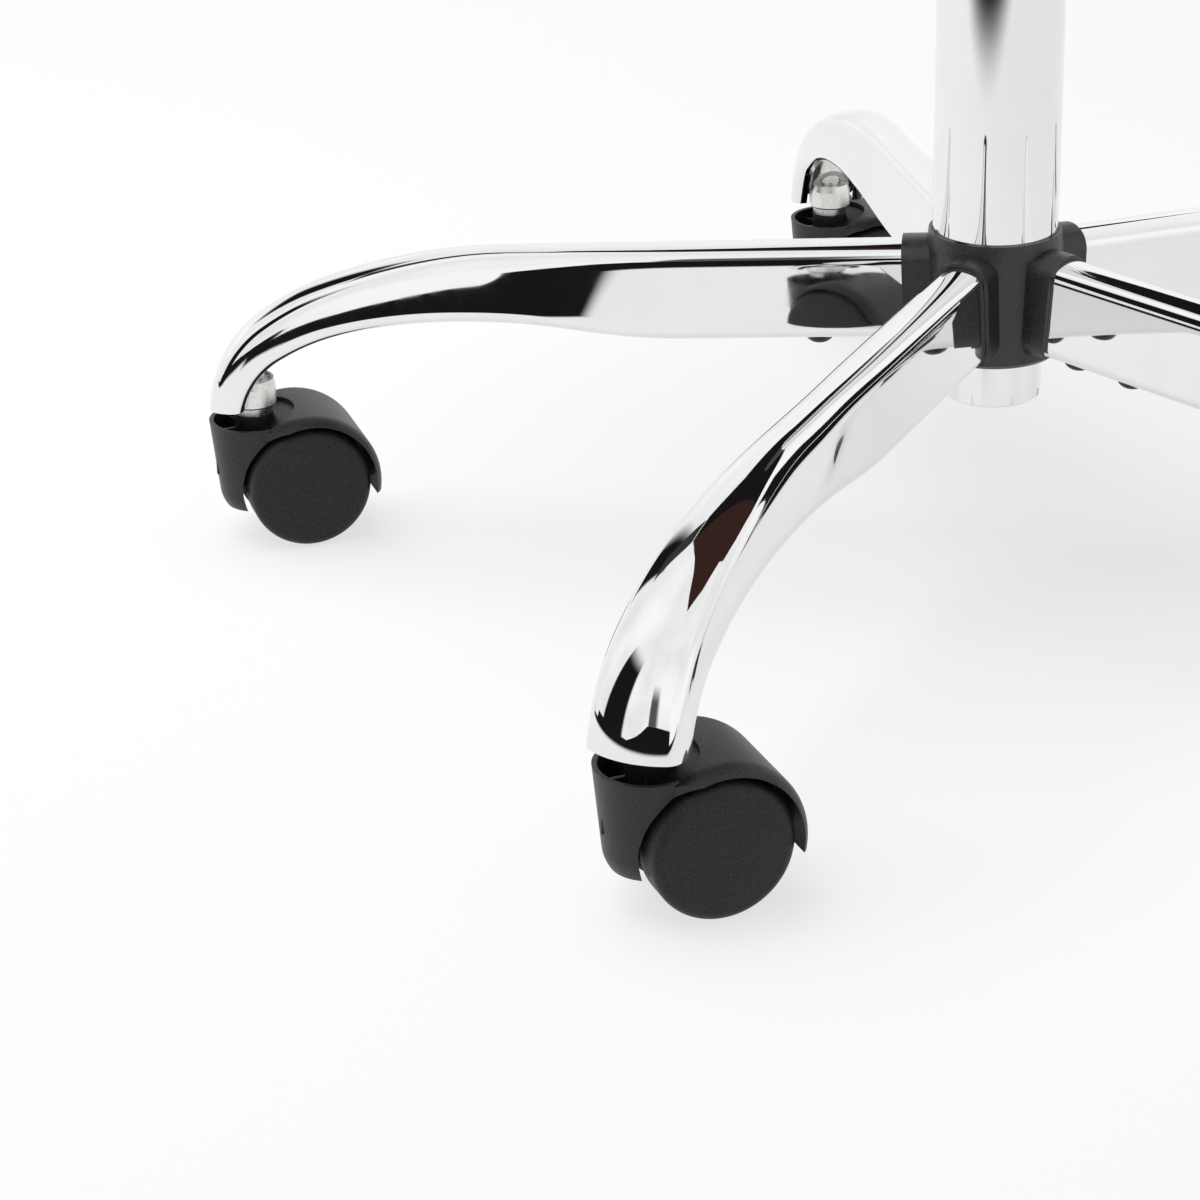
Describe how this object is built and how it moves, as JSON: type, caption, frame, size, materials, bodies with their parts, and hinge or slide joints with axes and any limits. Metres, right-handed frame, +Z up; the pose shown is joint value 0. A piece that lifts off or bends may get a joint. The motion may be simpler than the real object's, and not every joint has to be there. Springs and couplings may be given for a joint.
{
  "type": "five star office chair base",
  "caption": "Five star chair base of pressed chrome arms in a black hub, with a gas lift and hooded twin wheel casters on swivelling stems.",
  "frame": {"origin": "on the floor under the hub axis", "axes": "+Z up along the gas lift, -Y along the first arm"},
  "size_m": [0.6486, 0.6211, 0.382],
  "materials": {
    "chrome": "polished chrome plating",
    "hub_black": "semi-matt black",
    "caster_black": "fine grained matt black",
    "steel": "plain bright steel",
    "bolt_black": "black oxide",
    "bushing_plastic": "smooth black",
    "cylinder_black": "semi-gloss black",
    "rubber": "matt"
  },
  "bodies": {
    "base": {"hub": "hub_black", "arm_bolts": "bolt_black", "column_tube": "chrome", "guide_bushing": "bushing_plastic", "thrust_washer_lower": "steel", "bearing_cage": "bushing_plastic", "bearing_balls": "steel", "stem_grip_rings": "steel", "arm_1": "chrome", "arm_2": "chrome", "arm_3": "chrome", "arm_4": "chrome", "arm_5": "chrome", "caster_socket_1": "chrome", "caster_socket_2": "chrome", "caster_socket_3": "chrome", "caster_socket_4": "chrome", "caster_socket_5": "chrome", "caster_stem_1": "steel", "caster_stem_2": "steel", "caster_stem_3": "steel", "caster_stem_4": "steel", "caster_stem_5": "steel"},
    "lift_rod": {"piston_rod": "steel", "piston": "bushing_plastic", "thrust_washer_upper": "steel", "rubber_buffer": "rubber", "retaining_clip": "steel"},
    "lift_cylinder": {"gas_cylinder": "cylinder_black", "rod_guide": "bushing_plastic"},
    "release": {"release_pin": "steel"},
    "caster_1": {"caster_housing_1": "caster_black", "caster_axle_1": "steel"},
    "wheel_1_left_roll": {"wheel_1_left": "caster_black"},
    "wheel_1_right_roll": {"wheel_1_right": "caster_black"},
    "caster_2": {"caster_housing_2": "caster_black", "caster_axle_2": "steel"},
    "wheel_2_left_roll": {"wheel_2_left": "caster_black"},
    "wheel_2_right_roll": {"wheel_2_right": "caster_black"},
    "caster_3": {"caster_housing_3": "caster_black", "caster_axle_3": "steel"},
    "wheel_3_left_roll": {"wheel_3_left": "caster_black"},
    "wheel_3_right_roll": {"wheel_3_right": "caster_black"},
    "caster_4": {"caster_housing_4": "caster_black", "caster_axle_4": "steel"},
    "wheel_4_left_roll": {"wheel_4_left": "caster_black"},
    "wheel_4_right_roll": {"wheel_4_right": "caster_black"},
    "caster_5": {"caster_housing_5": "caster_black", "caster_axle_5": "steel"},
    "wheel_5_left_roll": {"wheel_5_left": "caster_black"},
    "wheel_5_right_roll": {"wheel_5_right": "caster_black"}
  },
  "joints": [
    {"name": "seat_turn", "type": "hinge", "parent": "base", "child": "lift_rod", "pos_m": [0, 0, 0.09], "axis": [0, 0, 1], "continuous": true},
    {"name": "seat_height", "type": "slide", "parent": "lift_rod", "child": "lift_cylinder", "axis": [0, 0, 1], "range_m": [0, 0.1]},
    {"name": "release_press", "type": "slide", "parent": "lift_cylinder", "child": "release", "axis": [0, 0, -1], "range_m": [0, 0.003], "stiffness_N_per_m": 3000},
    {"name": "swivel_1", "type": "hinge", "parent": "base", "child": "caster_1", "pos_m": [0, -0.305, 0.05], "axis": [0, 0, 1], "continuous": true},
    {"name": "roll_1_left", "type": "hinge", "parent": "caster_1", "child": "wheel_1_left_roll", "pos_m": [0.01179, -0.29139, 0.0255], "axis": [-0.7559, 0.6547, 0], "continuous": true},
    {"name": "roll_1_right", "type": "hinge", "parent": "caster_1", "child": "wheel_1_right_roll", "pos_m": [0.01179, -0.29139, 0.0255], "axis": [-0.7559, 0.6547, 0], "continuous": true},
    {"name": "swivel_2", "type": "hinge", "parent": "base", "child": "caster_2", "pos_m": [-0.29007, -0.09425, 0.05], "axis": [0, 0, 1], "continuous": true},
    {"name": "roll_2_left", "type": "hinge", "parent": "caster_2", "child": "wheel_2_left_roll", "pos_m": [-0.27752, -0.08135, 0.0255], "axis": [-0.7169, 0.6972, 0], "continuous": true},
    {"name": "roll_2_right", "type": "hinge", "parent": "caster_2", "child": "wheel_2_right_roll", "pos_m": [-0.27752, -0.08135, 0.0255], "axis": [-0.7169, 0.6972, 0], "continuous": true},
    {"name": "swivel_3", "type": "hinge", "parent": "base", "child": "caster_3", "pos_m": [-0.17927, 0.24675, 0.05], "axis": [0, 0, 1], "continuous": true},
    {"name": "roll_3_left", "type": "hinge", "parent": "caster_3", "child": "wheel_3_left_roll", "pos_m": [-0.16633, 0.25925, 0.0255], "axis": [-0.6947, 0.7193, 0], "continuous": true},
    {"name": "roll_3_right", "type": "hinge", "parent": "caster_3", "child": "wheel_3_right_roll", "pos_m": [-0.16633, 0.25925, 0.0255], "axis": [-0.6947, 0.7193, 0], "continuous": true},
    {"name": "swivel_4", "type": "hinge", "parent": "base", "child": "caster_4", "pos_m": [0.17927, 0.24675, 0.05], "axis": [0, 0, 1], "continuous": true},
    {"name": "roll_4_left", "type": "hinge", "parent": "caster_4", "child": "wheel_4_left_roll", "pos_m": [0.19084, 0.26054, 0.0255], "axis": [-0.766, 0.6428, 0], "continuous": true},
    {"name": "roll_4_right", "type": "hinge", "parent": "caster_4", "child": "wheel_4_right_roll", "pos_m": [0.19084, 0.26054, 0.0255], "axis": [-0.766, 0.6428, 0], "continuous": true},
    {"name": "swivel_5", "type": "hinge", "parent": "base", "child": "caster_5", "pos_m": [0.29007, -0.09425, 0.05], "axis": [0, 0, 1], "continuous": true},
    {"name": "roll_5_left", "type": "hinge", "parent": "caster_5", "child": "wheel_5_left_roll", "pos_m": [0.30235, -0.08109, 0.0255], "axis": [-0.7314, 0.682, 0], "continuous": true},
    {"name": "roll_5_right", "type": "hinge", "parent": "caster_5", "child": "wheel_5_right_roll", "pos_m": [0.30235, -0.08109, 0.0255], "axis": [-0.7314, 0.682, 0], "continuous": true}
  ]
}
